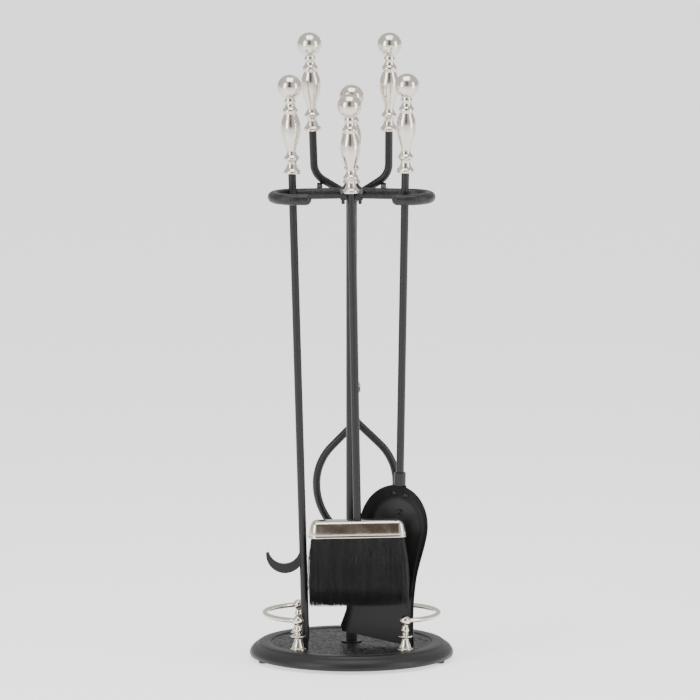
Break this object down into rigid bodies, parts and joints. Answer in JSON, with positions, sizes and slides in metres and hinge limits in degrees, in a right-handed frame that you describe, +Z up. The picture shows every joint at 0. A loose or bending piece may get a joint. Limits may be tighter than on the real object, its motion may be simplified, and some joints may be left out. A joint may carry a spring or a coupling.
{
  "type": "fireplace tool set",
  "caption": "Free-standing fireplace tool set: round cast base with a gallery, post with hooks, and a lift-off poker, shovel, brush and tongs with turned ball handles.",
  "frame": {"origin": "centre of the round base, on the floor it stands on", "axes": "+Z up along the post; +X to the right of the set; +Y to its back, the side of the tongs"},
  "size_m": [0.26, 0.26, 0.8003],
  "materials": {
    "cast_iron": "satin black, crinkled recess",
    "hanger_iron": "satin black, lightly hammered",
    "powder_coat": "satin black powder coat",
    "satin_nickel": "satin nickel plate",
    "zinc_steel": "zinc-plated fasteners",
    "rubber": "matte",
    "bristle": "black hair tufts",
    "beech": "plain turned beech"
  },
  "bodies": {
    "stand": {"base_casting": "cast_iron", "base_feet": "rubber", "post": "powder_coat", "post_bolt": "zinc_steel", "post_washer": "zinc_steel", "front_left_gallery_post": "satin_nickel", "front_right_gallery_post": "satin_nickel", "back_left_gallery_post": "satin_nickel", "back_right_gallery_post": "satin_nickel", "left_gallery_rail": "satin_nickel", "right_gallery_rail": "satin_nickel", "gallery_screws": "zinc_steel", "hanger_hub": "hanger_iron", "left_hook": "hanger_iron", "right_hook": "hanger_iron", "brush_fork": "hanger_iron", "left_tongs_rest": "hanger_iron", "right_tongs_rest": "hanger_iron", "hanger_collar": "hanger_iron", "hanger_stud": "zinc_steel", "stand_handle": "satin_nickel"},
    "poker": {"poker_shaft": "powder_coat", "poker_hook": "powder_coat", "poker_handle": "satin_nickel"},
    "shovel": {"shovel_shaft": "powder_coat", "shovel_socket": "powder_coat", "shovel_pan": "powder_coat", "shovel_rivets": "powder_coat", "shovel_handle": "satin_nickel"},
    "brush": {"brush_shaft": "powder_coat", "brush_nut": "zinc_steel", "brush_ferrule": "satin_nickel", "brush_block": "beech", "brush_bristles": "bristle", "brush_handle": "satin_nickel"},
    "tongs": {"tongs_rivet": "powder_coat", "tongs_washers": "zinc_steel"},
    "tongs_left": {"tongs_left_arm": "powder_coat", "tongs_left_handle": "satin_nickel"},
    "tongs_right": {"tongs_right_arm": "powder_coat", "tongs_right_handle": "satin_nickel"}
  },
  "joints": [
    {"name": "poker_lift", "type": "slide", "parent": "stand", "child": "poker", "axis": [-0.0285, 0.0415, 0.9987], "range_m": [0, 0.4]},
    {"name": "shovel_lift", "type": "slide", "parent": "stand", "child": "shovel", "axis": [0.016, 0, 0.9999], "range_m": [0, 0.1]},
    {"name": "brush_lift", "type": "slide", "parent": "stand", "child": "brush", "axis": [-0.0196, -0.1961, 0.9804], "range_m": [0, 0.35]},
    {"name": "tongs_lift", "type": "slide", "parent": "stand", "child": "tongs", "axis": [-0.0156, 0.0995, 0.9949], "range_m": [0, 0.25]},
    {"name": "tongs_left_close", "type": "hinge", "parent": "tongs", "child": "tongs_left", "pos_m": [0.0042, 0.04, 0.342], "axis": [-0.0008, 0.9985, 0.0539], "range_deg": [0, 2.9]},
    {"name": "tongs_right_close", "type": "hinge", "parent": "tongs", "child": "tongs_right", "pos_m": [0.0042, 0.04, 0.342], "axis": [0.0008, -0.9985, -0.0539], "range_deg": [0, 2.9]}
  ],
  "couplings": [
    {"joint": "tongs_right_close", "follows": "tongs_left_close", "ratio": 1}
  ]
}
